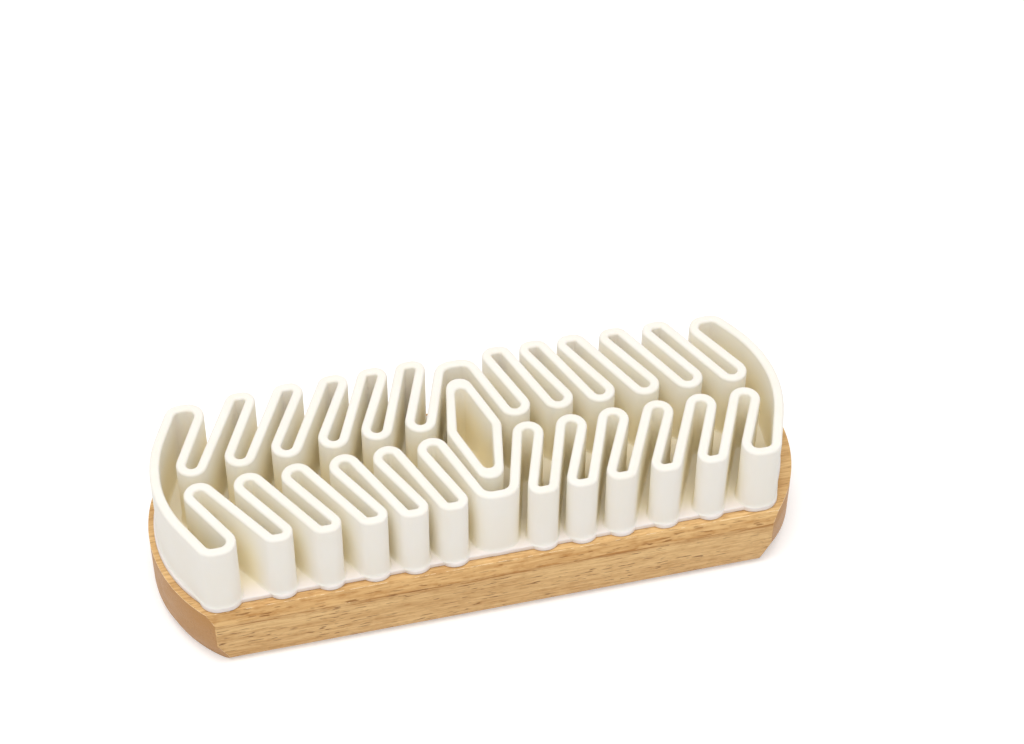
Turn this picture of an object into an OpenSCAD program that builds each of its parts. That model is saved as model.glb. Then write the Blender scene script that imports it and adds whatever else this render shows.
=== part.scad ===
// Suede brush: a beech block with a folded rubber band standing on it.
// The flat wooden back lies on z = 0 and the rubber stands up along +Z.
// X runs along the block and Y across it. All sizes are in millimetres.

/* [Wooden block] */
// Length of the block, over its bowed ends
block_length = 140; // [139.6:0.2:160]
// Width of the block
block_width = 48; // [47:0.2:60]
// Thickness of the block
block_thickness = 14.7; // [8:0.1:25]
// Radius of the bowed ends, seen from above
end_radius = 34; // [31:0.5:40]
// Radius of the bows at the edge of the back, where they are sanded off
sanded_radius = 29.4; // [28:0.2:31]
// Distance by which the sanding takes off the tip of each bow, at the back
sanded_depth = 0.9; // [0.5:0.1:1.5]
// Slope of the sanded part, away from upright
sanded_angle = 18.8; // [15:0.2:25]
// Rounding of the two long edges of the back
back_edge_radius = 2.5; // [0.5:0.1:4]
// Width of the bevel along the two long edges under the rubber
bevel_width = 1.6; // [0.4:0.1:2]
// Height of that bevel
bevel_height = 2.2; // [0.4:0.1:3]

/* [Rubber sheet] */
// Thickness of the glue film between the wood and the sheet
glue_thickness = 0.2; // [0.1:0.05:0.4]
// Thickness of the sheet that carries the folds
sheet_thickness = 1.1; // [0.8:0.1:3]
// Width of the sheet between its straight long edges
sheet_width = 41.6; // [40.8:0.2:43.4]
// Distance that the sheet shows outside the two end walls
sheet_margin = 0.7; // [0.2:0.1:1]
// Distance that each foot of a near fold spreads on the sheet
foot_spread = 0.7; // [0.3:0.05:0.8]

/* [Folded band] */
// Height of the whole brush, from the back to the edge of the rubber
brush_height = 32.8; // [30:0.1:40]
// Thickness of the band
wall = 2.1; // [1.8:0.1:2.3]
// Radius of the gap inside a fold at the long sides
fold_gap_radius = 1.15; // [1:0.05:1.3]
// Radius of the gap inside a fold at the middle of the brush
turn_gap_radius = 1.2; // [1:0.05:1.3]
// Radius of the gap inside the two wide folds
wide_gap_radius = 2.9; // [2.7:0.1:3.1]
// Radius of the gap inside the four corner folds
corner_gap_radius = 2.15; // [2:0.05:2.3]
// Distance from the middle line to the gap of a near fold
near_reach = 19.1; // [18.8:0.1:19.4]
// Distance from the middle line to the gap of a far fold
far_reach = 19.5; // [19.2:0.1:19.6]
// Distance from the middle line to the gap of a wide fold
wide_reach = 18.1; // [18:0.1:18.6]
// Width of the zigzag gap between the near and the far folds
row_gap = 2; // [1.6:0.1:2.4]
// Distance by which the two rows bow towards the far side
row_bow = 1.1; // [0:0.1:1.2]
// Distance from the middle to the outside of the left end wall
left_end = 68.1; // [67.9:0.1:68.5]
// Distance from the middle to the outside of the right end wall
right_end = 66.9; // [66.7:0.1:67.3]

/* [Middle loop] */
// Length of the eye-shaped loop, across the brush
eye_length = 29.4; // [28.6:0.2:29.6]
// Width of the eye-shaped loop
eye_width = 11.6; // [11:0.1:11.8]

/* [Hidden] */

rubber_colour = "ivory";
wood_colour = "burlywood";
glue_colour = "khaki";

// Heights of the layers, from the back up
sheet_bottom = block_thickness + glue_thickness;
sheet_top = sheet_bottom + sheet_thickness;

// The rows and the ends are told apart by a sign
near = -1;
far = 1;
left = -1;
right = 1;
clockwise = -1;
counter_clockwise = 1;

// Steps from the wide fold in the middle out to each next fold of a long side
fold_steps = [9.6, 8.3, 8.5, 9.6, 10, 11.7];
// Steps from the middle out to each next fold along the zigzag gap
turn_steps = [10.2, 9.4, 9.2, 9.9, 9.7, 10];
last_place = len(fold_steps);

// The rows stand a little to one side, and drift to the left towards the ends
near_fold_shift = 0.85;
near_corner_drift = -0.85;
far_fold_shift = 0.15;
far_fold_drift = -1.1;
near_turn_shift = 0.6;
near_turn_drift = -0.95;
far_turn_shift = -0.15;
far_turn_drift = -0.5;
zigzag_middle = -0.25;

// Half of the flat front of a fold, between its two rounded corners
fold_flat = 0.6;
corner_flat = 0.7;
wide_flat = 1;

// Distance from the middle line to the gap of each corner fold
near_left_reach = 19.9;
near_right_reach = 19.4;
far_corner_reach = 18.6;

// The corner feet and the far feet spread less, because they stand close to the bevel
close_foot_spread = 0.25;

// Outer radius of the two end walls
end_wall_radius = 30;

// Largest angle and longest chord of one facet on a curve
facet_angle = 20;
facet_length = 2;

function running_sum(steps, count) =
    count == 0 ? 0 : steps[count - 1] + running_sum(steps, count - 1);

// Place 0 is the wide fold in the middle, and the last places are the corners
function is_corner(place) = abs(place) == last_place;
function drift(place) = pow(abs(place) / last_place, 3);

function fold_x(place, row) =
    sign(place) * running_sum(fold_steps, abs(place))
    + (row == near ? near_fold_shift + (is_corner(place) ? near_corner_drift : 0)
                   : far_fold_shift + far_fold_drift * drift(place));
function turn_x(place, row) =
    sign(place) * running_sum(turn_steps, abs(place))
    + (row == near ? near_turn_shift + near_turn_drift * drift(place)
                   : far_turn_shift + far_turn_drift * drift(place));

// Bow of the rows towards the far side, most at the middle of the brush
function bow(x) = row_bow * (0.5 - pow(x / running_sum(fold_steps, last_place), 2));

function corner_reach(place, row) =
    row == far ? far_corner_reach : place < 0 ? near_left_reach : near_right_reach;

function fold_reach(place, row) =
    place == 0 ? wide_reach
    : is_corner(place) ? corner_reach(place, row)
    : row == near ? near_reach : far_reach + bow(fold_x(place, row));

function fold_gap(place) =
    place == 0 ? wide_gap_radius : is_corner(place) ? corner_gap_radius : fold_gap_radius;
function fold_half_flat(place) =
    place == 0 ? wide_flat : is_corner(place) ? corner_flat : fold_flat;

// A bend is [x, y, radius of the centre line, sense of the turn]. The band goes
// round all the bends in order and runs straight from one bend to the next.
// A fold has two bends, one on each side of its flat front.
function fold_bends(place, row) =
    let (radius = fold_gap(place) - fold_half_flat(place),
         y = row * (fold_reach(place, row) - radius))
    [for (side = [row, -row])
        [fold_x(place, row) + side * fold_half_flat(place), y,
         radius + wall / 2, counter_clockwise]];

function turn_bend(place, row) =
    let (x = turn_x(place, row))
    [x, zigzag_middle + bow(x) + row * (row_gap / 2 + wall + turn_gap_radius),
     turn_gap_radius + wall / 2, clockwise];

function end_bend(end) =
    [end * ((end == left ? left_end : right_end) - end_wall_radius), 0,
     end_wall_radius - wall / 2, counter_clockwise];

// The near row runs to the right and the far row runs back to the left
near_bends = [for (place = [-last_place : last_place]) each [
    each fold_bends(place, near),
    if (place < last_place) turn_bend(place < 0 ? place : place + 1, near)]];
far_bends = [for (place = [last_place : -1 : -last_place]) each [
    each fold_bends(place, far),
    if (place > -last_place) turn_bend(place > 0 ? place : place - 1, far)]];
band_bends = concat(near_bends, [end_bend(right)], far_bends, [end_bend(left)]);

// Direction of the straight run from one bend to the next
function run_angle(a, b) =
    atan2(b.y - a.y, b.x - a.x)
    - asin((b[2] * b[3] - a[2] * a[3]) / norm([b.x - a.x, b.y - a.y]));

// Points round one bend, at a distance to the left of the centre line
function bend_points(bend, from, to, offset) =
    let (sweep = bend[3] * (((to - from) * bend[3] + 720) % 360),
         arc_length = abs(sweep) * PI / 180 * bend[2],
         count = ceil(max(abs(sweep) / facet_angle, arc_length / facet_length)),
         r = bend[2] * bend[3] - offset)
    [for (k = [0 : count]) let (angle = from + sweep * k / count)
        [bend.x + r * sin(angle), bend.y - r * cos(angle)]];

// Closed outline that goes round all the bends
function loop_points(bends, offset = 0) =
    let (count = len(bends),
         runs = [for (k = [0 : count - 1]) run_angle(bends[k], bends[(k + 1) % count])])
    [for (k = [0 : count - 1])
        each bend_points(bends[k], runs[(k + count - 1) % count], runs[k], offset)];

// The eye-shaped loop leans a little and is thicker at its two tips
eye_middle = 0.2;
eye_lean = 1;
eye_tip_wall = 3;
eye_tip_radius = 2.9;
eye_side_radius = 4;
eye_hole_tip_radius = 1.3;
eye_hole_side_radius = 2.5;

function eye_bends(half_length, half_width, tip_radius, side_radius) = [
    [eye_middle + eye_lean / 2, tip_radius - half_length, tip_radius, counter_clockwise],
    [eye_middle + half_width - side_radius, 0, side_radius, counter_clockwise],
    [eye_middle - eye_lean / 2, half_length - tip_radius, tip_radius, counter_clockwise],
    [eye_middle - half_width + side_radius, 0, side_radius, counter_clockwise]];

// Strip with straight long edges and a bow at each end, seen from above
module bowed_strip(left_reach, right_reach, bow_radius, width) {
    middle = (right_reach - left_reach) / 2;
    straight = left_reach + right_reach - 2 * bow_radius;
    intersection() {
        translate([middle, 0])
            square([left_reach + right_reach, width], center = true);
        union() {
            translate([middle, 0]) square([straight, width], center = true);
            translate([bow_radius - left_reach, 0]) circle(r = bow_radius, $fn = 120);
            translate([right_reach - bow_radius, 0]) circle(r = bow_radius, $fn = 120);
        }
    }
}

// Section across the block: round back edges and bevels under the rubber
module block_section() {
    half = block_width / 2;
    back_arc = [for (angle = [0 : 15 : 90])
        [half - back_edge_radius * (1 - sin(angle)), back_edge_radius * (1 - cos(angle))]];
    right_half = concat(back_arc, [[half, block_thickness - bevel_height],
                                   [half - bevel_width, block_thickness]]);
    left_half = [for (k = [len(right_half) - 1 : -1 : 0]) [-right_half[k].x, right_half[k].y]];
    polygon(concat(right_half, left_half));
}

// What the sanding leaves of the ends. It takes off more towards the back corners.
module sanded_limit() {
    cone_x = block_length / 2 - sanded_depth - sanded_radius;
    top_radius = sanded_radius + block_thickness * tan(sanded_angle);
    translate([-cone_x, -top_radius, 0])
        cube([2 * cone_x, 2 * top_radius, block_thickness]);
    for (end = [left, right])
        translate([end * cone_x, 0, 0])
            cylinder(r1 = sanded_radius, r2 = top_radius, h = block_thickness, $fn = 120);
}

// Wooden back and grip, flat on the side away from the rubber
module beech_block() {
    color(wood_colour)
        intersection() {
            linear_extrude(block_thickness)
                bowed_strip(block_length / 2, block_length / 2, end_radius, block_width);
            sanded_limit();
            rotate([90, 0, 90])
                linear_extrude(block_length, center = true) block_section();
        }
}

// Film of glue, held back from the edge of the sheet
module glue_film() {
    film_inset = 0.6;
    margin = sheet_margin - film_inset;
    color(glue_colour)
        translate([0, 0, block_thickness])
            linear_extrude(glue_thickness)
                bowed_strip(left_end + margin, right_end + margin,
                            end_wall_radius + margin, sheet_width - 2 * film_inset);
}

// Foot that spreads under one fold
module foot(place, row) {
    spread = row == far || is_corner(place) ? close_foot_spread : foot_spread;
    bends = fold_bends(place, row);
    radius = bends[0][2] + wall / 2 + spread;
    half_flat = fold_half_flat(place);
    translate([fold_x(place, row), bends[0].y]) {
        square([2 * half_flat, 2 * radius], center = true);
        for (side = [-1, 1])
            translate([side * half_flat, 0]) circle(r = radius, $fn = 48);
    }
}

// Sheet with a rounded foot under each fold of the two long sides
module base_sheet() {
    color(rubber_colour)
        translate([0, 0, sheet_bottom])
            linear_extrude(sheet_thickness) {
                bowed_strip(left_end + sheet_margin, right_end + sheet_margin,
                            end_wall_radius + sheet_margin, sheet_width);
                for (place = [-last_place : last_place], row = [near, far])
                    foot(place, row);
            }
}

// One endless band, folded to and fro along both long sides
module folded_band() {
    color(rubber_colour)
        translate([0, 0, sheet_top])
            linear_extrude(brush_height - sheet_top)
                difference() {
                    polygon(loop_points(band_bends, -wall / 2));
                    polygon(loop_points(band_bends, wall / 2));
                }
}

// Eye-shaped loop in the space between the two wide folds
module middle_loop() {
    color(rubber_colour)
        translate([0, 0, sheet_top])
            linear_extrude(brush_height - sheet_top)
                difference() {
                    polygon(loop_points(eye_bends(eye_length / 2, eye_width / 2,
                                                  eye_tip_radius, eye_side_radius)));
                    polygon(loop_points(eye_bends(eye_length / 2 - eye_tip_wall,
                                                  eye_width / 2 - wall,
                                                  eye_hole_tip_radius, eye_hole_side_radius)));
                }
}

beech_block();
glue_film();
base_sheet();
folded_band();
middle_loop();
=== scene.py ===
# %% [markdown]
# # A suede brush, built in cells
#
# The brush is a beech block with a thin rubber sheet glued on it. On the sheet stands one endless rubber
# band, on edge, folded to and fro in two rows, with an eye-shaped loop in the middle. This lesson loads
# the construction model as a fixed frame and builds the finished surfaces round it, piece by piece.

# %% Load the frame
import math

import bmesh
import bpy
from mathutils import Matrix, Vector


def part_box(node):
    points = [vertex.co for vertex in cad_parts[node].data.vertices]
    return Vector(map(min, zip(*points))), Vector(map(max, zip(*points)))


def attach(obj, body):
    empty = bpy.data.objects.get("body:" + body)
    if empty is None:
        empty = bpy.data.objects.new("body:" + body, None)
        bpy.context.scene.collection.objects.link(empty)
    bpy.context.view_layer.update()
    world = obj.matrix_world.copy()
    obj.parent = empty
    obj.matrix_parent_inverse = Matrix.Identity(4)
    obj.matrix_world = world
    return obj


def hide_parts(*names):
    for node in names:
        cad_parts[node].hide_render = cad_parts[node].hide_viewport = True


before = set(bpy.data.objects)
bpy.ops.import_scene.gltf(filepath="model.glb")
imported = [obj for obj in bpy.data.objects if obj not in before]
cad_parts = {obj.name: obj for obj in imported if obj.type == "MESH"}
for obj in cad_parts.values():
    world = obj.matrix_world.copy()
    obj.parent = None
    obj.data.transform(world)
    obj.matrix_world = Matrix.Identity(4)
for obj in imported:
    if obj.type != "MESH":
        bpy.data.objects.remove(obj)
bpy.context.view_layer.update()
MM = 0.001
NEARLY = 0.01 * MM
SAME_PLACE = 0.001 * MM

# %% [markdown]
# The photograph looks down on the long side from the left, with a long lens. A camera is easiest to
# reason about as a place, a direction over the floor, a dip below the horizon and a slight roll, so
# those are the driving values, and the rotation is worked out from them.

# %% Camera
CAMERA_PLACE = Vector((-78.7, -342.2, 414.5)) * MM
CAMERA_HEADING = math.radians(14.25)
CAMERA_DIP = math.radians(46.12)
CAMERA_ROLL = math.radians(0.62)
LENS = 86.86

gaze = Vector((math.sin(CAMERA_HEADING) * math.cos(CAMERA_DIP),
               math.cos(CAMERA_HEADING) * math.cos(CAMERA_DIP),
               -math.sin(CAMERA_DIP)))
camera = bpy.data.objects.new("camera", bpy.data.cameras.new("camera"))
bpy.context.scene.collection.objects.link(camera)
camera.data.lens = LENS
camera.data.sensor_width = 36
camera.rotation_mode = "QUATERNION"
camera.rotation_quaternion = (Matrix.Rotation(-CAMERA_ROLL, 3, gaze)
                              @ gaze.to_track_quat("-Z", "Y").to_matrix()).to_quaternion()
camera.location = CAMERA_PLACE
camera.data.clip_start = 0.01
bpy.context.scene.camera = camera
print("camera at", [round(v, 4) for v in camera.location])

# %% [markdown]
# Everything that the pieces share comes from the frame: the block's size from its node, the heights of
# the layers from theirs. Only what can't be read from a box, such as the radius of a bend, is a number.

# %% Sizes from the frame
block_low, block_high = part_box("beech_block")
sheet_low, sheet_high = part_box("base_sheet")
band_low, band_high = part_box("folded_band")
eye_low, eye_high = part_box("middle_loop")

BLOCK_LENGTH = block_high.x - block_low.x
BLOCK_WIDTH = block_high.y - block_low.y
BLOCK_THICKNESS = block_high.z - block_low.z
SHEET_BOTTOM = sheet_low.z
SHEET_TOP = sheet_high.z
RUBBER_TOP = band_high.z
LEFT_END = -band_low.x
RIGHT_END = band_high.x
print("block, mm:", [round(v / MM, 2) for v in (BLOCK_LENGTH, BLOCK_WIDTH, BLOCK_THICKNESS)])

# %% [markdown]
# Every operator works on what is selected, and the frame arrives selected. So each piece starts with
# nothing selected, and a small helper opens it in edit mode and picks faces, edges or points by a rule.


# %% Helpers for modelling with operators
def new_piece(name):
    """Names the primitive that was just added and leaves it alone, selected and active."""
    piece = bpy.context.active_object
    piece.name = name
    piece.data.name = name
    bpy.ops.object.transform_apply(location=True, rotation=True, scale=True)
    return piece


def deselect_all():
    bpy.ops.object.select_all(action="DESELECT")


def edit(piece, mode):
    """Opens a piece in edit mode, with nothing selected."""
    deselect_all()
    piece.select_set(True)
    bpy.context.view_layer.objects.active = piece
    bpy.ops.object.mode_set(mode="EDIT")
    bpy.ops.mesh.select_mode(type=mode)
    bpy.ops.mesh.select_all(action="DESELECT")


def leave_edit():
    bpy.ops.object.mode_set(mode="OBJECT")


def pick(piece, kind, rule):
    """Selects the faces, edges or verts whose rule is true, and returns how many there are."""
    mesh = bmesh.from_edit_mesh(piece.data)
    found = [part for part in getattr(mesh, kind) if rule(part)]
    for part in found:
        part.select_set(True)
    bmesh.update_edit_mesh(piece.data)
    return len(found)


def middle(edge):
    return (edge.verts[0].co + edge.verts[1].co) / 2


def apply_modifiers(piece):
    deselect_all()
    piece.select_set(True)
    bpy.context.view_layer.objects.active = piece
    for modifier in list(piece.modifiers):
        bpy.ops.object.modifier_apply(modifier=modifier.name)


def tidy_mesh(piece, merge=0.002 * MM):
    """Merges doubles and turns every face outwards."""
    edit(piece, "VERT")
    bpy.ops.mesh.select_all(action="SELECT")
    bpy.ops.mesh.remove_doubles(threshold=merge)
    bpy.ops.mesh.normals_make_consistent(inside=False)
    leave_edit()


def smooth(piece, degrees):
    """Shades a piece smooth over every edge that turns by less than this."""
    deselect_all()
    piece.select_set(True)
    bpy.context.view_layer.objects.active = piece
    bpy.ops.object.shade_smooth_by_angle(angle=math.radians(degrees))


def report(piece):
    size = [round(v / MM, 2) for v in piece.dimensions]
    print(piece.name, "faces", len(piece.data.polygons), "size, mm", size)


# %% [markdown]
# ## The wooden block
#
# On the real brush a long moulded strip is cut to length and its ends are sanded to a bow, so the
# profile runs straight through and the bows cut across it. The mesh goes the other way round: a disc
# gives the bow, flat cuts give the long sides, and then each edge is planed in several thin passes.
# A pass is a bisect that throws away what lies outside the plane and closes the cut. The rubber sheet
# has the same kind of outline, so the first steps are a helper that makes one half of either.


# %% Half of a slab with a bowed end
BOW_POINTS = 180


def plane_off(point, normal):
    """Cuts away all that lies outside a plane, and closes the cut."""
    bpy.ops.mesh.select_all(action="SELECT")
    bpy.ops.mesh.bisect(plane_co=point, plane_no=normal, use_fill=True, clear_outer=True,
                        threshold=0.1 * SAME_PLACE)


def at_middle(face):
    return face.normal.x < -0.9 and abs(face.calc_center_median().x) < 0.1 * MM


def bowed_half(name, half_length, bow_radius, width, bottom, top):
    """The right half of a slab: a disc cut flat at its sides and drawn out to the middle."""
    bow_centre = half_length - bow_radius
    deselect_all()
    bpy.ops.mesh.primitive_cylinder_add(vertices=BOW_POINTS, radius=bow_radius, depth=top - bottom,
                                        location=(bow_centre, 0, (top + bottom) / 2))
    half = new_piece(name)
    edit(half, "FACE")
    plane_off((bow_centre, 0, 0), (-1, 0, 0))
    for side in (-1, 1):
        plane_off((0, side * width / 2, 0), (0, side, 0))
    bpy.ops.mesh.select_all(action="DESELECT")
    pick(half, "faces", lambda face: face.normal.x < -0.9)
    bpy.ops.mesh.extrude_region_move(TRANSFORM_OT_translate={"value": (-bow_centre, 0, 0)})
    leave_edit()
    return half


def mirror_half(half):
    """Opens the middle of a half and adds the modifier that makes the other one."""
    edit(half, "FACE")
    pick(half, "faces", at_middle)
    bpy.ops.mesh.delete(type="FACE")
    leave_edit()
    mirror = half.modifiers.new("other_half", "MIRROR")
    mirror.use_axis[0] = True
    mirror.merge_threshold = NEARLY


BLOCK_BOW = 34 * MM
block = bowed_half("wooden_block", BLOCK_LENGTH / 2, BLOCK_BOW, BLOCK_WIDTH, 0, BLOCK_THICKNESS)
report(block)

# %% [markdown]
# Where a bow meets a long side, an upright corner stands. A hand closes round it, so it is rounded off
# by four upright cuts that touch a small circle.

# %% Soft corners between the bows and the sides
CORNER_ROUND = 1 * MM
CORNER_PASSES = 4
half_width = BLOCK_WIDTH / 2
bow_centre = BLOCK_LENGTH / 2 - BLOCK_BOW
corner_y = half_width - CORNER_ROUND
corner_x = bow_centre + math.sqrt((BLOCK_BOW - CORNER_ROUND) ** 2 - corner_y ** 2)
first_angle = math.atan2(corner_y, corner_x - bow_centre)
edit(block, "FACE")
for side in (-1, 1):
    for k in range(CORNER_PASSES):
        angle = first_angle + (math.pi / 2 - first_angle) * (k + 0.5) / CORNER_PASSES
        normal = Vector((math.cos(angle), side * math.sin(angle), 0))
        plane_off(Vector((corner_x, side * corner_y, 0)) + normal * CORNER_ROUND, normal)
leave_edit()

# %% [markdown]
# The ends were held against a sanding belt at a slant, so the edge of the back stands in a little at the
# tip of the bow, and more at the corners. The passes go round a steep cone that opens upwards.

# %% Sand the ends towards the back
SANDED_RADIUS = 29.4 * MM
SANDED_DEPTH = 0.9 * MM
SANDED_ANGLE = math.radians(18.8)
SANDING_PASSES = 44
SANDED_REACH = math.radians(55)
cone_x = BLOCK_LENGTH / 2 - SANDED_DEPTH - SANDED_RADIUS
edit(block, "FACE")
for k in range(SANDING_PASSES):
    angle = SANDED_REACH * (2 * (k + 0.5) / SANDING_PASSES - 1)
    level = Vector((math.cos(angle), math.sin(angle), 0))
    plane_off(Vector((cone_x, 0, 0)) + level * SANDED_RADIUS,
              level * math.cos(SANDED_ANGLE) - Vector((0, 0, math.sin(SANDED_ANGLE))))
leave_edit()
report(block)

# %% [markdown]
# A moulding cutter gave the strip its section: a flat bevel along both edges under the rubber, and round
# edges on the back. One cut makes the bevel, and a fan of cuts makes the round.

# %% Bevels under the rubber and round edges on the back
BEVEL_WIDTH = 1.6 * MM
BEVEL_HEIGHT = 2.2 * MM
BACK_EDGE_ROUND = 2.5 * MM
BACK_PASSES = 8
edit(block, "FACE")
for side in (-1, 1):
    plane_off((0, side * half_width, BLOCK_THICKNESS - BEVEL_HEIGHT),
              Vector((0, side * BEVEL_HEIGHT, BEVEL_WIDTH)).normalized())
    for k in range(BACK_PASSES):
        angle = math.pi / 2 * (k + 0.5) / BACK_PASSES
        normal = Vector((0, side * math.cos(angle), -math.sin(angle)))
        centre = Vector((0, side * (half_width - BACK_EDGE_ROUND), BACK_EDGE_ROUND))
        plane_off(centre + normal * BACK_EDGE_ROUND, normal)
leave_edit()
report(block)

# %% [markdown]
# Half of the block is ready. A mirror makes the other half, and a small bevel takes the sharpness off
# every edge that turns by more than a little, as fine sandpaper does. The bevel gives its own faces the
# second of two empty material slots, so that the worn edges can be lighter than the rest.

# %% Mirror the block and ease its edges
EASED_EDGE = 0.7 * MM
EASED_SEGMENTS = 3
EASED_FROM = math.radians(25)
PLAIN_SLOT, EASED_SLOT = 0, 1
for _ in (PLAIN_SLOT, EASED_SLOT):
    block.data.materials.append(None)
mirror_half(block)
eased = block.modifiers.new("eased_edges", "BEVEL")
eased.width = EASED_EDGE
eased.segments = EASED_SEGMENTS
eased.limit_method = "ANGLE"
eased.angle_limit = EASED_FROM
eased.material = EASED_SLOT
apply_modifiers(block)
tidy_mesh(block)
smooth(block, degrees=35)
report(block)

# %% [markdown]
# ## The route of the band
#
# The band goes round a row of bends, like a belt round pulleys, and runs straight between them. A bend
# is a centre, a radius and a sense of turning. A fold of a long side has two bends with a flat between
# them, because the real folds are a little square. The places are worked out from the steps between the
# folds, as in the construction model.

# %% Sizes of the folds
WALL = 2.1 * MM
FOLD_GAP = 1.15 * MM
TURN_GAP = 1.2 * MM
WIDE_GAP = 2.9 * MM
CORNER_GAP = 2.15 * MM
NEAR_REACH = 19.1 * MM
FAR_REACH = 19.5 * MM
WIDE_REACH = 18.1 * MM
ROW_GAP = 2 * MM
ROW_BOW = 1.1 * MM
FOLD_STEPS = [9.6 * MM, 8.3 * MM, 8.5 * MM, 9.6 * MM, 10 * MM, 11.7 * MM]
TURN_STEPS = [10.2 * MM, 9.4 * MM, 9.2 * MM, 9.9 * MM, 9.7 * MM, 10 * MM]
LAST = len(FOLD_STEPS)
NEAR, FAR = -1, 1
FOLD_SHIFT = {NEAR: 0.85 * MM, FAR: 0.15 * MM}
NEAR_CORNER_DRIFT = -0.85 * MM
FAR_FOLD_DRIFT = -1.1 * MM
TURN_SHIFT = {NEAR: 0.6 * MM, FAR: -0.15 * MM}
TURN_DRIFT = {NEAR: -0.95 * MM, FAR: -0.5 * MM}
ZIGZAG_MIDDLE = -0.25 * MM
FOLD_FLAT = 0.6 * MM
CORNER_FLAT = 0.7 * MM
WIDE_FLAT = 1 * MM
NEAR_LEFT_REACH = 19.9 * MM
NEAR_RIGHT_REACH = 19.4 * MM
FAR_CORNER_REACH = 18.6 * MM
END_WALL_RADIUS = 30 * MM


# %% Places of the folds
def is_corner(place):
    return abs(place) == LAST


def drift(place):
    return (abs(place) / LAST) ** 3


def stepped(steps, place):
    return math.copysign(sum(steps[:abs(place)]), place)


def fold_x(place, row):
    shift = FOLD_SHIFT[row]
    if row == FAR:
        shift += FAR_FOLD_DRIFT * drift(place)
    elif is_corner(place):
        shift += NEAR_CORNER_DRIFT
    return stepped(FOLD_STEPS, place) + shift


def turn_x(place, row):
    return stepped(TURN_STEPS, place) + TURN_SHIFT[row] + TURN_DRIFT[row] * drift(place)


def bow(x):
    return ROW_BOW * (0.5 - (x / sum(FOLD_STEPS)) ** 2)


def fold_reach(place, row):
    if place == 0:
        return WIDE_REACH
    if is_corner(place):
        return FAR_CORNER_REACH if row == FAR else NEAR_LEFT_REACH if place < 0 else NEAR_RIGHT_REACH
    return NEAR_REACH if row == NEAR else FAR_REACH + bow(fold_x(place, row))


def fold_gap(place):
    return WIDE_GAP if place == 0 else CORNER_GAP if is_corner(place) else FOLD_GAP


def fold_flat(place):
    return WIDE_FLAT if place == 0 else CORNER_FLAT if is_corner(place) else FOLD_FLAT


# %% Bends of the band
def fold_bends(place, row):
    radius = fold_gap(place) - fold_flat(place)
    y = row * (fold_reach(place, row) - radius)
    return [(fold_x(place, row) + side * fold_flat(place), y, radius + WALL / 2, 1) for side in (row, -row)]


def turn_bend(place, row):
    x = turn_x(place, row)
    y = ZIGZAG_MIDDLE + bow(x) + row * (ROW_GAP / 2 + WALL + TURN_GAP)
    return (x, y, TURN_GAP + WALL / 2, -1)


def end_bend(side, reach):
    return (side * (reach - END_WALL_RADIUS), 0, END_WALL_RADIUS - WALL / 2, 1)


band_bends = []
for place in range(-LAST, LAST + 1):
    band_bends += fold_bends(place, NEAR)
    if place < LAST:
        band_bends.append(turn_bend(place if place < 0 else place + 1, NEAR))
band_bends.append(end_bend(1, RIGHT_END))
for place in range(LAST, -LAST - 1, -1):
    band_bends += fold_bends(place, FAR)
    if place > -LAST:
        band_bends.append(turn_bend(place if place > 0 else place - 1, FAR))
band_bends.append(end_bend(-1, LEFT_END))
print("bends in the band:", len(band_bends))


# %% [markdown]
# A straight run between two bends touches both of them, as a belt does. Its direction follows from the
# line between the centres and the difference of the radii, where a clockwise bend counts as negative.

# %% Straight runs between the bends
def run_angle(a, b):
    across = b[2] * b[3] - a[2] * a[3]
    return math.atan2(b[1] - a[1], b[0] - a[0]) - math.asin(across / math.hypot(b[0] - a[0], b[1] - a[1]))


def point_on(bend, angle, offset=0.0):
    """The point of a bend where the route heads in a direction, moved to the left by offset."""
    radius = bend[2] * bend[3] - offset
    return Vector((bend[0] + radius * math.sin(angle), bend[1] - radius * math.cos(angle), 0))


def runs_of(bends):
    return [run_angle(bend, bends[(k + 1) % len(bends)]) for k, bend in enumerate(bends)]


# %% [markdown]
# The sweep is done by hand tools: the selected section is extruded along each straight run, in steps,
# and spun round the centre of each bend. At the end the last section lies on the first one, and merging
# doubles closes the band. This keeps the wall the same thickness all along, as a moulded one has it.

# %% Sweep a selected section round all the bends
BEND_STEP = math.radians(15)
LONGEST_STEP = 2.2 * MM
TURN_SENSE = -1


def follow_bends(bends, offset=0.0):
    """Extrudes and spins what is selected, from the end of the first bend round to it again."""
    runs = runs_of(bends)
    count = len(bends)
    for k in range(count):
        bend, following = bends[k], bends[(k + 1) % count]
        along = point_on(following, runs[k], offset) - point_on(bend, runs[k], offset)
        steps = max(1, math.ceil(along.length / LONGEST_STEP))
        if along.length > SAME_PLACE:
            for _ in range(steps):
                bpy.ops.mesh.extrude_region_move(TRANSFORM_OT_translate={"value": along / steps})
        turn = (runs[(k + 1) % count] - runs[k]) % (2 * math.pi)
        if following[3] < 0:
            turn -= 2 * math.pi
        arc = abs(turn) * abs(following[2])
        steps = max(1, math.ceil(max(abs(turn) / BEND_STEP, arc / LONGEST_STEP)))
        bpy.ops.mesh.spin(steps=steps, angle=TURN_SENSE * turn, center=(following[0], following[1], 0),
                          axis=(0, 0, 1))


# %% [markdown]
# ## The folded band
#
# The section is a tall narrow rectangle with a soft top edge and a foot that flares where the rubber
# runs into the sheet. It starts as a plane on end. A bevel of its two top points rounds the rim, and
# the bottom edge is extruded in stages and widened each time for the foot. A last extrusion sinks a
# root into the sheet, so that no gap shows at the joint. The inside of the section is then taken out,
# because only its outline is swept.

# %% Section of the wall
RIM_ROUND = 0.6 * MM
RIM_SEGMENTS = 5
RIM_SINK = 0.02 * MM
FLARE_HEIGHT = 1 * MM
FLARE_WIDTH = 0.35 * MM
FLARE_STAGES = ((0.4, 0.1), (0.3, 0.2), (0.2, 0.3), (0.1, 0.4))
ROOT_DEPTH = 0.5 * MM


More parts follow.
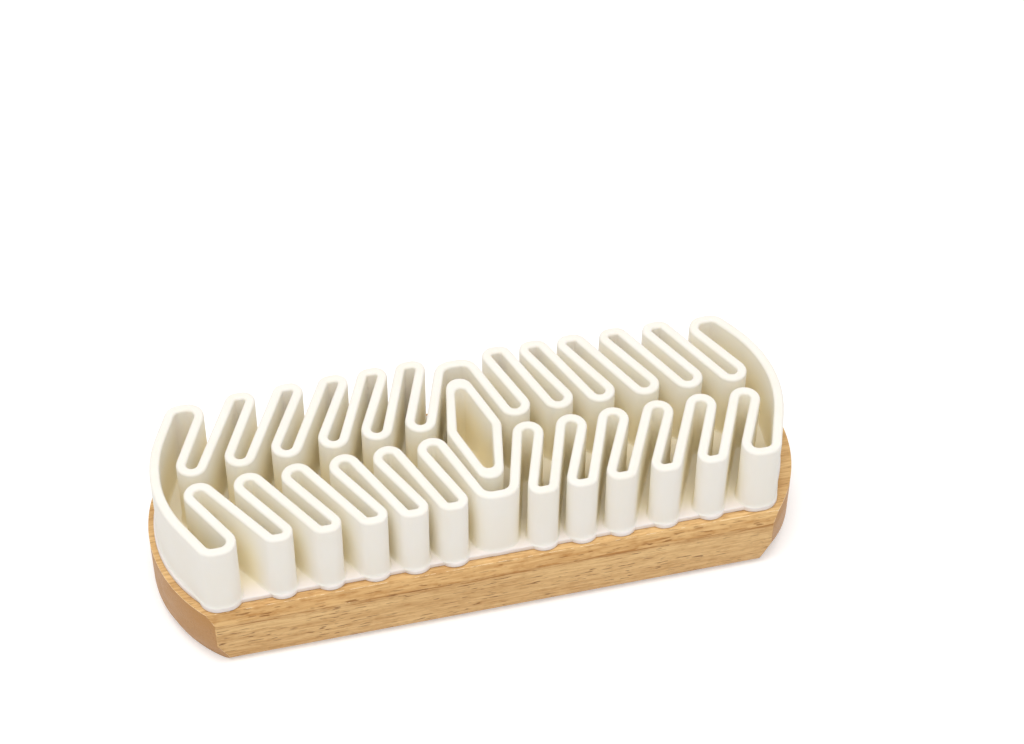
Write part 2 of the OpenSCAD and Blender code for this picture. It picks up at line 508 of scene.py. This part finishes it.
def add_section(name, start, heading):
    """The outline of the wall, standing across the route at a place, selected in edit mode."""
    height = RUBBER_TOP - RIM_SINK - SHEET_TOP - FLARE_HEIGHT
    deselect_all()
    bpy.ops.mesh.primitive_plane_add(size=1)
    section = bpy.context.active_object
    section.scale = (WALL, height, 1)
    section.rotation_euler = (math.pi / 2, 0, heading - math.pi / 2)
    section.location = (start.x, start.y, SHEET_TOP + FLARE_HEIGHT + height / 2)
    section = new_piece(name)
    edit(section, "VERT")
    pick(section, "verts", lambda vert: vert.co.z > RUBBER_TOP - 2 * RIM_ROUND)
    bpy.ops.mesh.bevel(offset=RIM_ROUND, segments=RIM_SEGMENTS, affect="VERTICES")
    bpy.ops.mesh.select_mode(type="EDGE")
    width, floor_level = WALL, SHEET_TOP + FLARE_HEIGHT
    for lowering, widening in FLARE_STAGES:
        bpy.ops.mesh.select_all(action="DESELECT")
        pick(section, "edges", lambda edge: middle(edge).z < floor_level + NEARLY)
        bpy.ops.mesh.extrude_edges_move(TRANSFORM_OT_translate={"value": (0, 0, -lowering * FLARE_HEIGHT)})
        wider = width + 2 * widening * FLARE_WIDTH
        bpy.ops.transform.resize(value=(wider / width, wider / width, 1), center_override=start)
        width, floor_level = wider, floor_level - lowering * FLARE_HEIGHT
    bpy.ops.mesh.extrude_edges_move(TRANSFORM_OT_translate={"value": (0, 0, -ROOT_DEPTH)})
    bpy.ops.mesh.select_mode(type="FACE")
    bpy.ops.mesh.select_all(action="SELECT")
    bpy.ops.mesh.dissolve_faces()
    bpy.ops.mesh.delete(type="ONLY_FACE")
    bpy.ops.mesh.select_mode(type="EDGE")
    bpy.ops.mesh.select_all(action="SELECT")
    return section


heading = run_angle(band_bends[0], band_bends[1])
band = add_section("fin_band", point_on(band_bends[0], heading), heading)
print("points in the section:", len(bmesh.from_edit_mesh(band.data).verts))

# %% Sweep the band
follow_bends(band_bends)
leave_edit()
tidy_mesh(band, merge=0.02 * MM)
smooth(band, degrees=50)
report(band)

# %% [markdown]
# ## The rubber sheet
#
# The sheet is a thin slab with bowed ends, and under each fold it spreads into a rounded foot, which
# gives the fold more to stand on. The slab is made like the block, from half of a bowed outline. Then it
# is moved, because the rubber stands a little off the middle, and the edge round its top is softened.

# %% Slab of the sheet
SHEET_WIDTH = 41.6 * MM
SHEET_MARGIN = 0.7 * MM
SHEET_BOW = END_WALL_RADIUS + SHEET_MARGIN
SHEET_ROUND = 0.35 * MM
SHEET_SEGMENTS = 4
SHARP_TURN = math.radians(60)
sheet_half = (LEFT_END + RIGHT_END) / 2 + SHEET_MARGIN
sheet_middle = (RIGHT_END - LEFT_END) / 2


def round_top_edge(piece, rounding):
    """Bevels the edge round the top face of a slab or a foot."""
    edit(piece, "EDGE")
    top = max(vert.co.z for vert in bmesh.from_edit_mesh(piece.data).verts)
    pick(piece, "edges", lambda edge: middle(edge).z > top - NEARLY
         and edge.calc_face_angle(0) > SHARP_TURN)
    bpy.ops.mesh.bevel(offset=rounding, segments=SHEET_SEGMENTS, affect="EDGES")
    leave_edit()


sheet = bowed_half("rubber_sheet", sheet_half, SHEET_BOW, SHEET_WIDTH, SHEET_BOTTOM, SHEET_TOP)
mirror_half(sheet)
apply_modifiers(sheet)
edit(sheet, "FACE")
bpy.ops.mesh.select_all(action="SELECT")
bpy.ops.transform.translate(value=(sheet_middle, 0, 0))
leave_edit()
round_top_edge(sheet, SHEET_ROUND)
report(sheet)

# %% [markdown]
# A foot is a low disc under a fold, with its halves drawn apart a little, because the fold has a flat
# front. The near feet spread most. The others stand close to the bevel of the wood and spread less. Each
# foot is thinner than the slab by a hair, so that no two faces of the union lie in one plane.

# %% Feet under the folds
FOOT_SPREAD = 0.7 * MM
CLOSE_FOOT_SPREAD = 0.4 * MM
LEAST_FOOT_ROUND = 0.1 * MM
NEAR_FOOT_FLAT = 0.15 * MM
NEAR_FOOT_SHIFT = 0.25 * MM
FOOT_INSET = 0.02 * MM
FOOT_POINTS = 48


def add_foot(place, row):
    """A low disc, its halves drawn apart along the block, under one fold."""
    close = row == FAR or is_corner(place)
    spread = CLOSE_FOOT_SPREAD if close else FOOT_SPREAD
    half_flat = fold_flat(place) if close or place == 0 else NEAR_FOOT_FLAT
    bend = fold_bends(place, row)[0]
    centre = fold_x(place, row) + (0 if close or place == 0 else NEAR_FOOT_SHIFT)
    deselect_all()
    bpy.ops.mesh.primitive_cylinder_add(
        vertices=FOOT_POINTS, radius=bend[2] + WALL / 2 + spread,
        depth=SHEET_TOP - SHEET_BOTTOM - 2 * FOOT_INSET,
        location=(centre, bend[1], (SHEET_TOP + SHEET_BOTTOM) / 2), rotation=(0, 0, math.pi / FOOT_POINTS))
    foot = new_piece("foot")
    edit(foot, "VERT")
    for side in (-1, 1):
        bpy.ops.mesh.select_all(action="DESELECT")
        pick(foot, "verts", lambda vert: (vert.co.x - centre) * side > 0)
        bpy.ops.transform.translate(value=(side * half_flat, 0, 0))
    leave_edit()
    round_top_edge(foot, max(spread - FLARE_WIDTH, LEAST_FOOT_ROUND))
    return foot


feet = [add_foot(place, row) for place in range(-LAST, LAST + 1) for row in (NEAR, FAR)]
print("feet:", len(feet))

# %% [markdown]
# The feet are joined to the slab one at a time, each by an exact union that is applied at once. So a
# foot that overlaps its neighbour meets a mesh that is already closed.

# %% Join the feet to the slab
for foot in feet:
    union = sheet.modifiers.new("foot", "BOOLEAN")
    union.operation = "UNION"
    union.solver = "EXACT"
    union.object = foot
    apply_modifiers(sheet)
    bpy.data.objects.remove(foot)
tidy_mesh(sheet)
smooth(sheet, degrees=40)
report(sheet)

# %% [markdown]
# ## The eye-shaped loop
#
# The loop in the middle is cast with thicker tips, so its outer and inner faces don't follow each other
# at one distance. Each is swept by itself, round its own four bends, from one side of the wall's section,
# and a bridge closes the rim and the bottom between them.

# %% Bends of the eye
EYE_LENGTH = eye_high.y - eye_low.y
EYE_WIDTH = 11.6 * MM
EYE_MIDDLE = 0.2 * MM
EYE_LEAN = 1 * MM
EYE_TIP_WALL = 3 * MM
EYE_TIP_ROUND = 2.9 * MM
EYE_SIDE_ROUND = 4 * MM
EYE_HOLE_TIP_ROUND = 1.3 * MM
EYE_HOLE_SIDE_ROUND = 2.5 * MM


def eye_bends(half_length, half_width, tip_round, side_round):
    return [(EYE_MIDDLE + EYE_LEAN / 2, tip_round - half_length, tip_round, 1),
            (EYE_MIDDLE + half_width - side_round, 0, side_round, 1),
            (EYE_MIDDLE - EYE_LEAN / 2, half_length - tip_round, tip_round, 1),
            (EYE_MIDDLE - half_width + side_round, 0, side_round, 1)]


outer_bends = eye_bends(EYE_LENGTH / 2, EYE_WIDTH / 2, EYE_TIP_ROUND, EYE_SIDE_ROUND)
hole_bends = eye_bends(EYE_LENGTH / 2 - EYE_TIP_WALL, EYE_WIDTH / 2 - WALL,
                       EYE_HOLE_TIP_ROUND, EYE_HOLE_SIDE_ROUND)


# %% Outer and inner faces of the eye
def sweep_side(name, bends, side):
    """One side of the wall's section swept round the bends. Side is 1 for a wall to their left."""
    heading = run_angle(bends[0], bends[1])
    start = point_on(bends[0], heading, side * WALL / 2)
    face = add_section(name, start, heading)
    across = Vector((-math.sin(heading), math.cos(heading), 0))
    bpy.ops.mesh.select_mode(type="VERT")
    bpy.ops.mesh.select_all(action="DESELECT")
    pick(face, "verts", lambda vert: (vert.co - start).dot(across) * side > 0)
    bpy.ops.mesh.delete(type="VERT")
    bpy.ops.mesh.select_mode(type="EDGE")
    bpy.ops.mesh.select_all(action="SELECT")
    follow_bends(bends)
    leave_edit()
    tidy_mesh(face, merge=0.02 * MM)
    report(face)
    return face


outer_face = sweep_side("eye_loop", outer_bends, 1)
hole_face = sweep_side("eye_hole", hole_bends, -1)

# %% [markdown]
# The two faces become one object. At the rim and at the bottom each of them ends in an open ring, and a
# bridge between the two rings closes the loop.

# %% Bridge the two faces of the eye
deselect_all()
outer_face.select_set(True)
hole_face.select_set(True)
bpy.context.view_layer.objects.active = outer_face
bpy.ops.object.join()
eye = bpy.context.active_object
eye_levels = [RUBBER_TOP - RIM_SINK, SHEET_TOP - ROOT_DEPTH]
for level in eye_levels:
    edit(eye, "EDGE")
    pick(eye, "edges", lambda edge: abs(middle(edge).z - level) < SAME_PLACE and edge.is_boundary)
    bpy.ops.mesh.bridge_edge_loops()
    leave_edit()
tidy_mesh(eye)
smooth(eye, degrees=50)
report(eye)

# %% [markdown]
# ## Materials
#
# Every finish is made of nodes that read the place on the piece, so nothing has to be unwrapped. An
# effect that several finishes share is a node group with named inputs. The small helpers below only
# save typing: one adds a node, one links it, and one opens a new group.


# %% Helpers for nodes
def add_node(tree, kind, **settings):
    node = tree.nodes.new(kind)
    for name, value in settings.items():
        setattr(node, name, value)
    return node


def link(tree, source, target):
    tree.links.new(source, target)


def set_or_link(tree, socket, value):
    if isinstance(value, bpy.types.NodeSocket):
        tree.links.new(value, socket)
    else:
        socket.default_value = value


def calculate(tree, operation, first, second=0.0, clamp=False):
    node = add_node(tree, "ShaderNodeMath", operation=operation, use_clamp=clamp)
    set_or_link(tree, node.inputs[0], first)
    set_or_link(tree, node.inputs[1], second)
    return node.outputs[0]


def rescale(tree, value, low, high, new_low=0.0, new_high=1.0):
    node = add_node(tree, "ShaderNodeMapRange", interpolation_type="SMOOTHSTEP")
    for socket, setting in zip(node.inputs, (value, low, high, new_low, new_high)):
        set_or_link(tree, socket, setting)
    return node.outputs[0]


def mix_colour(tree, factor, first, second):
    node = add_node(tree, "ShaderNodeMix", data_type="RGBA")
    set_or_link(tree, node.inputs[0], factor)
    set_or_link(tree, node.inputs[6], first)
    set_or_link(tree, node.inputs[7], second)
    return node.outputs[2]


def stretched_noise(tree, stretch, detail, roughness=0.5, distortion=0.0):
    """Noise whose grains per metre along x, y and z are given by stretch."""
    place = add_node(tree, "ShaderNodeTexCoord")
    mapping = add_node(tree, "ShaderNodeMapping")
    mapping.inputs["Scale"].default_value = stretch
    noise = add_node(tree, "ShaderNodeTexNoise")
    noise.inputs["Scale"].default_value = 1
    noise.inputs["Detail"].default_value = detail
    noise.inputs["Roughness"].default_value = roughness
    noise.inputs["Distortion"].default_value = distortion
    link(tree, place.outputs["Object"], mapping.inputs["Vector"])
    link(tree, mapping.outputs["Vector"], noise.inputs["Vector"])
    return noise.outputs["Fac"]


def new_group(name, inputs, outputs):
    """A node group with named inputs and outputs: {name: default}, a colour where it has four parts."""
    group = bpy.data.node_groups.new(name, "ShaderNodeTree")
    for names, direction in ((inputs, "INPUT"), (outputs, "OUTPUT")):
        for label, default in names.items():
            colour = isinstance(default, tuple)
            socket = group.interface.new_socket(
                name=label, in_out=direction,
                socket_type="NodeSocketColor" if colour else "NodeSocketFloat")
            if direction == "INPUT":
                socket.default_value = default
    return group, group.nodes.new("NodeGroupInput"), group.nodes.new("NodeGroupOutput")


def written(red, green, blue):
    """A colour as it is read off a picture, made linear for the shader."""
    return tuple(((v / 255 + 0.055) / 1.055) ** 2.4 for v in (red, green, blue)) + (1.0,)


# %% [markdown]
# Beech has straight, quiet grain: broad soft streaks along the block, fine hairs of darker fibre, and
# many short dark dashes where the pores are cut lengthways. Seen on the end, the same pores are dots.
# One stretched noise in space gives both, because the streaks run right through the wood. Varnish fills
# most pores on the end and on what faces up. The ends take up more stain, so the group darkens whatever
# faces along x. Their upper edge is scuffed the most.

# %% Beech grain
STREAK_GRAIN = (10, 170, 260)
FIBRE_GRAIN = (130, 2300, 2300)
FLECK_GRAIN = (420, 1100, 1100)
PORE_GRAIN = (330, 2500, 2500)
PATCH_GRAIN = (90, 300, 300)
beech_group, beech_in, beech_out = new_group(
    "beech_grain",
    {"Light wood": written(239, 200, 141), "Dark wood": written(182, 130, 73),
     "Pore colour": written(132, 84, 42), "End colour": written(190, 140, 83),
     "Pore depth": 0.8, "Wear": 0.0},
    {"Color": (0.0, 0.0, 0.0, 1.0), "Roughness": 0.0, "Height": 0.0})
tree = beech_group
streaks = rescale(tree, stretched_noise(tree, STREAK_GRAIN, 5, 0.65, 0.2), 0.34, 0.68)
fibres = rescale(tree, stretched_noise(tree, FIBRE_GRAIN, 3, 0.6), 0.36, 0.66)
flecks = rescale(tree, stretched_noise(tree, FLECK_GRAIN, 2, 0.6), 0.45, 0.7)
pores = rescale(tree, stretched_noise(tree, PORE_GRAIN, 1, 0.4), 0.61, 0.67)
patches = rescale(tree, stretched_noise(tree, PATCH_GRAIN, 1), 0.32, 0.6)
pores = calculate(tree, "MULTIPLY", pores, patches)

# %% [markdown]
# A year ring leaves a darker line along the side, just under the bevel. It is the distance from a level
# that wanders slowly, turned into a soft line, and the fibres break it up.

# %% A darker growth line under the bevel
LINE_LEVEL = BLOCK_THICKNESS - BEVEL_HEIGHT - 0.5 * MM
LINE_WANDER = 1.6 * MM
LINE_EDGE = 0.75 * MM
LINE_CORE = 0.1 * MM
place = add_node(tree, "ShaderNodeTexCoord")
where = add_node(tree, "ShaderNodeSeparateXYZ")
link(tree, place.outputs["Object"], where.inputs["Vector"])
drop = calculate(tree, "SUBTRACT", LINE_LEVEL, where.outputs["Z"])
wander = calculate(tree, "SUBTRACT", stretched_noise(tree, (25, 25, 0), 3), 0.5)
wander = calculate(tree, "MULTIPLY", wander, LINE_WANDER)
distance = calculate(tree, "ABSOLUTE", calculate(tree, "ADD", drop, wander))
growth_line = rescale(tree, distance, LINE_EDGE, LINE_CORE)
growth_line = calculate(tree, "MULTIPLY", growth_line, rescale(tree, fibres, 0.0, 1.0, 0.25, 0.8))

# %% [markdown]
# The layers are added up to one darkness, which mixes the light and the dark wood. The share of each is
# how much it counts.

# %% Mix the wood
STREAK_SHARE = 0.4
FIBRE_SHARE = 0.36
FLECK_SHARE = 0.22
LINE_SHARE = 0.6
darkness = calculate(tree, "ADD", calculate(tree, "MULTIPLY", streaks, STREAK_SHARE),
                     calculate(tree, "MULTIPLY", fibres, FIBRE_SHARE))
darkness = calculate(tree, "ADD", darkness, calculate(tree, "MULTIPLY", flecks, FLECK_SHARE))
darkness = calculate(tree, "ADD", darkness, calculate(tree, "MULTIPLY", growth_line, LINE_SHARE), clamp=True)
wood = mix_colour(tree, darkness, beech_in.outputs["Light wood"], beech_in.outputs["Dark wood"])

# %% Ends and pores
END_FIBRE_SHARE = 0.35
FILLED_AT_THE_END = 0.75
FILLED_ON_TOP = 0.6
facing = add_node(tree, "ShaderNodeSeparateXYZ")
link(tree, place.outputs["Normal"], facing.inputs["Vector"])
along_x = calculate(tree, "ABSOLUTE", facing.outputs["X"])
end_face = calculate(tree, "MULTIPLY", rescale(tree, along_x, 0.4, 0.6),
                     rescale(tree, calculate(tree, "ABSOLUTE", facing.outputs["Z"]), 0.6, 0.4))
end_wood = mix_colour(tree, calculate(tree, "MULTIPLY", fibres, END_FIBRE_SHARE),
                      beech_in.outputs["End colour"], beech_in.outputs["Dark wood"])
wood = mix_colour(tree, end_face, wood, end_wood)
filled = calculate(tree, "ADD", calculate(tree, "MULTIPLY", end_face, FILLED_AT_THE_END),
                   rescale(tree, facing.outputs["Z"], 0.5, 0.75, 0.0, FILLED_ON_TOP))
open_pores = calculate(tree, "MULTIPLY", pores, calculate(tree, "SUBTRACT", 1.0, filled, clamp=True))
pore_amount = calculate(tree, "MULTIPLY", open_pores, beech_in.outputs["Pore depth"])
wood = mix_colour(tree, pore_amount, wood, beech_in.outputs["Pore colour"])

# %% [markdown]
# On the eased edges the varnish is rubbed through in specks. A fine noise decides where, and it gets a
# push at the ends of the block and at the very top, where the edge is knocked most.

# %% Wear
WEAR_GRAIN = (700, 1100, 1100)
WEAR_FROM, WEAR_FULL = 0.54, 0.64
END_PUSH = 0.18
LOW_PUSH, TOP_PUSH = -0.1, 0.08
BARE_WOOD = written(252, 230, 190)
at_the_end = rescale(tree, along_x, 0.1, 0.4, 0.0, END_PUSH)
near_top = rescale(tree, where.outputs["Z"], BLOCK_THICKNESS - 0.5 * MM, BLOCK_THICKNESS - 0.2 * MM,
                   LOW_PUSH, TOP_PUSH)
worn = calculate(tree, "ADD", stretched_noise(tree, WEAR_GRAIN, 3),
                 calculate(tree, "ADD", at_the_end, near_top))
worn = calculate(tree, "MULTIPLY", beech_in.outputs["Wear"], rescale(tree, worn, WEAR_FROM, WEAR_FULL))
wood = mix_colour(tree, worn, wood, BARE_WOOD)
link(tree, wood, beech_out.inputs["Color"])
link(tree, rescale(tree, streaks, 0, 1, 0.38, 0.5), beech_out.inputs["Roughness"])
link(tree, calculate(tree, "SUBTRACT", calculate(tree, "MULTIPLY", fibres, 0.4), pore_amount),
     beech_out.inputs["Height"])
print("beech group:", len(tree.nodes), "nodes")


# %% [markdown]
# A finish joins its group to the Principled shader: colour, roughness and, through a bump node, height.
# Numbers that are the same everywhere, such as the coat of varnish or how far light goes into rubber,
# are set on the shader itself.

# %% Finishes from a group
def new_finish(name, group, settings, bump_distance, shader_settings):
    """A material whose group drives colour, roughness and bump, with constant shader settings."""
    material = bpy.data.materials.new(name)
    material.use_nodes = True
    tree = material.node_tree
    shader = tree.nodes["Principled BSDF"]
    pattern = add_node(tree, "ShaderNodeGroup", node_tree=group)
    for label, value in settings.items():
        pattern.inputs[label].default_value = value
    bump = add_node(tree, "ShaderNodeBump")
    bump.inputs["Distance"].default_value = bump_distance
    bump.inputs["Strength"].default_value = 1.0
    link(tree, pattern.outputs["Color"], shader.inputs["Base Color"])
    link(tree, pattern.outputs["Roughness"], shader.inputs["Roughness"])
    link(tree, pattern.outputs["Height"], bump.inputs["Height"])
    link(tree, bump.outputs["Normal"], shader.inputs["Normal"])
    for label, value in shader_settings.items():
        shader.inputs[label].default_value = value
    return material


varnish = {"Coat Weight": 0.04, "Coat Roughness": 0.35, "Specular IOR Level": 0.15}
beech = new_finish("beech", beech_group, {}, 0.05 * MM, varnish)
worn_beech = new_finish("worn_beech", beech_group, {"Wear": 0.9, "Pore depth": 0.3}, 0.2 * MM, varnish)
print("wood finishes:", beech.name, worn_beech.name)

# %% [markdown]
# Crepe rubber looks like milky wax: the light goes a little way in and comes out warmer. That is
# subsurface scattering, with a short reach. The warm glow deep in the gaps between the folds is also
# painted into the colour: the group has a brighter colour for the inside of the folds and a warmer one for
# their depth, which stand in for bounced light. The surface has very faint clouds and a fine skin that
# breaks up the gloss.

# %% Rubber
CLOUD_GRAIN = (110, 110, 70)
SKIN_GRAIN = (1600, 1600, 1600)
SKIN_GLOSS = 0.12
SKIN_DEPTH = 0.25
rubber_group, rubber_in, rubber_out = new_group(
    "cast_rubber",
    {"Rubber": written(246, 241, 232), "Cloud": written(244, 238, 226),
     "Painted inner light": written(255, 249, 234), "Painted deep shading": written(255, 243, 212),
     "Cloud amount": 0.6, "Lowest roughness": 0.5},
    {"Color": (0.0, 0.0, 0.0, 1.0), "Roughness": 0.0, "Height": 0.0})
tree = rubber_group
clouds = rescale(tree, stretched_noise(tree, CLOUD_GRAIN, 3), 0.35, 0.7)
skin = stretched_noise(tree, SKIN_GRAIN, 4, 0.6)

# %% [markdown]
# What counts as inside, where bounced light is painted into the colour, is decided by place alone: away
# from the two long sides, away from the bows of the end walls, and below the rim. Each of the three fades
# in over a short way, and they are multiplied.

# %% Inside and outside of the folds, for the painted light
INSIDE_FROM = 15 * MM
INSIDE_TO = 20.8 * MM
BOW_SKIN = 0.6 * MM
BOW_FADE = 1.8 * MM
RIM_FADE = 1.2 * MM
WARM_DEPTH = 12 * MM
place = add_node(tree, "ShaderNodeTexCoord")
where = add_node(tree, "ShaderNodeSeparateXYZ")
link(tree, place.outputs["Object"], where.inputs["Vector"])
across = calculate(tree, "ABSOLUTE", where.outputs["Y"])
past_bow = calculate(tree, "MAXIMUM", 0.0, calculate(tree, "SUBTRACT", calculate(
    tree, "ABSOLUTE", where.outputs["X"]), (LEFT_END + RIGHT_END) / 2 - END_WALL_RADIUS))
from_bow = calculate(tree, "SQRT", calculate(tree, "ADD", calculate(tree, "POWER", past_bow, 2.0),
                                             calculate(tree, "POWER", where.outputs["Y"], 2.0)))
inside = calculate(tree, "MULTIPLY", rescale(tree, across, INSIDE_TO, INSIDE_FROM),
                   rescale(tree, from_bow, END_WALL_RADIUS - BOW_SKIN, END_WALL_RADIUS - BOW_FADE))
inside = calculate(tree, "MULTIPLY", inside,
                   rescale(tree, where.outputs["Z"], RUBBER_TOP, RUBBER_TOP - RIM_FADE))
tint = mix_colour(tree, calculate(tree, "MULTIPLY", clouds, rubber_in.outputs["Cloud amount"]),
                  rubber_in.outputs["Rubber"], rubber_in.outputs["Cloud"])

# %% Colour, gloss and skin of the rubber
# The inside takes a brighter colour that grows warmer with depth: this is painted bounced light in the gaps
# between the folds.
depth = rescale(tree, where.outputs["Z"], RUBBER_TOP - RIM_FADE, RUBBER_TOP - WARM_DEPTH)
painted_light_tint = mix_colour(tree, depth, rubber_in.outputs["Painted inner light"], rubber_in.outputs["Painted deep shading"])
link(tree, mix_colour(tree, inside, tint, painted_light_tint), rubber_out.inputs["Color"])
link(tree, calculate(tree, "ADD", rubber_in.outputs["Lowest roughness"],
                     calculate(tree, "MULTIPLY", skin, SKIN_GLOSS)), rubber_out.inputs["Roughness"])
link(tree, calculate(tree, "ADD", calculate(tree, "MULTIPLY", skin, SKIN_DEPTH), clouds),
     rubber_out.inputs["Height"])
print("rubber group:", len(tree.nodes), "nodes")

# %% [markdown]
# Three finishes come out of the rubber group. The band and the loop are thick enough for light to go in
# a good way, the sheet is thin and lies on wood, and the glue is brown and a little shiny.

# %% Rubber and glue finishes
deep_light = {"Subsurface Weight": 0.25, "Subsurface Radius": (1.0, 0.9, 0.75),
              "Subsurface Scale": 1.2 * MM, "Specular IOR Level": 0.25}
thin_light = {"Subsurface Weight": 0.2, "Subsurface Radius": (1.0, 0.9, 0.8),
              "Subsurface Scale": 0.6 * MM, "Specular IOR Level": 0.25}
ivory_rubber = new_finish("ivory_rubber", rubber_group, {}, 0.02 * MM, deep_light)
# The sheet is lighter and warmer inside than at its edge: this is painted bounced light from the folds.
pale_rubber = new_finish("pale_rubber", rubber_group,
                         {"Rubber": written(242, 234, 229), "Cloud": written(236, 227, 220),
                          "Painted deep shading": written(251, 242, 220)},
                         0.02 * MM, thin_light)
dried_glue = new_finish("dried_glue", rubber_group,
                        {"Rubber": written(182, 164, 138), "Cloud": written(150, 128, 100),
                         "Painted deep shading": written(170, 150, 124),
                         "Lowest roughness": 0.3},
                        0.05 * MM, {"Specular IOR Level": 0.5})

# %% Give each piece its finish
for piece, finishes in ((block, (beech, worn_beech)), (sheet, (pale_rubber,)),
                        (band, (ivory_rubber,)), (eye, (ivory_rubber,))):
    while len(piece.data.materials) < len(finishes):
        piece.data.materials.append(None)
    for k, finish in enumerate(finishes):
        piece.data.materials[k] = finish
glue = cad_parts["glue_film"]
glue.data.materials.clear()
glue.data.materials.append(dried_glue)
print("finishes:", [material.name for material in bpy.data.materials])

# %% [markdown]
# Each new piece rides on the only body of the frame and stands for its construction solid, which is
# then hidden. The glue film has the right shape already, so it stays and only got a finish.

ROOT = "root"
for piece, node, slot in ((block, "beech_block", "beech"), (sheet, "base_sheet", "sheet_rubber"),
                          (band, "folded_band", "band_rubber"), (eye, "middle_loop", "band_rubber")):
    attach(piece, ROOT)
    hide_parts(node)

# %% [markdown]
# ## Floor and light
#
# The photograph is cut out on white. A pale floor takes the soft shadow of the brush. It lights the
# brush from below as grey card would, and only the camera sees it brighter, up to white. It lies a hair
# below the wooden back, because two faces in one plane flicker.

# %% Floor
FLOOR_SIZE = 6.0
FLOOR_DROP = 0.02 * MM
FLOOR_GREY = 0.85
FLOOR_LIFT = 0.32
deselect_all()
bpy.ops.mesh.primitive_plane_add(size=FLOOR_SIZE, location=(0, 0, -FLOOR_DROP))
floor = new_piece("floor")
floor_paint = bpy.data.materials.new("floor_paint")
floor_paint.use_nodes = True
tree = floor_paint.node_tree
shader = tree.nodes["Principled BSDF"]
shader.inputs["Base Color"].default_value = (FLOOR_GREY, FLOOR_GREY, FLOOR_GREY, 1)
shader.inputs["Roughness"].default_value = 0.9
shader.inputs["Specular IOR Level"].default_value = 0.0
shader.inputs["Emission Color"].default_value = (1, 1, 1, 1)
path = add_node(tree, "ShaderNodeLightPath")
seen = calculate(tree, "MAXIMUM", path.outputs["Is Camera Ray"], path.outputs["Is Glossy Ray"])
link(tree, calculate(tree, "MULTIPLY", seen, FLOOR_LIFT), shader.inputs["Emission Strength"])
floor.data.materials.append(floor_paint)
print("floor, m:", FLOOR_SIZE, "grey:", FLOOR_GREY)

# %% [markdown]
# An even sky fills the gaps between the folds. The camera sees it at full white, and the brush gets less
# of it, so that colours come out as written.

# %% Sky
SKY_LEVEL = 0.6
sky = bpy.data.worlds.new("soft_sky")
bpy.context.scene.world = sky
sky.use_nodes = True
tree = sky.node_tree
background = tree.nodes["Background"]
path = add_node(tree, "ShaderNodeLightPath")
seen = calculate(tree, "MAXIMUM", path.outputs["Is Camera Ray"], path.outputs["Is Transmission Ray"])
link(tree, rescale(tree, seen, 0, 1, SKY_LEVEL, 1), background.inputs["Strength"])
background.inputs["Color"].default_value = (1, 1, 1, 1)
print("sky level:", SKY_LEVEL)

# %% [markdown]
# One large soft box hangs almost overhead, a little to the near left. It reaches down into the folds and
# leaves only a faint shadow.

# %% Lamp
LAMP_PLACE = Vector((-0.12, -0.2, 1.2))
LAMP_SIZE = 0.8
LAMP_POWER = 8.8
lamp = bpy.data.objects.new("main_lamp", bpy.data.lights.new("main_lamp", "AREA"))
bpy.context.scene.collection.objects.link(lamp)
lamp.data.shape = "SQUARE"
lamp.data.size = LAMP_SIZE
lamp.data.energy = LAMP_POWER
lamp.location = LAMP_PLACE
lamp.rotation_mode = "QUATERNION"
lamp.rotation_quaternion = (-LAMP_PLACE).to_track_quat("-Z", "Y")
bpy.context.scene.view_settings.view_transform = "Standard"
print("lamp at, m:", [round(v, 2) for v in LAMP_PLACE])
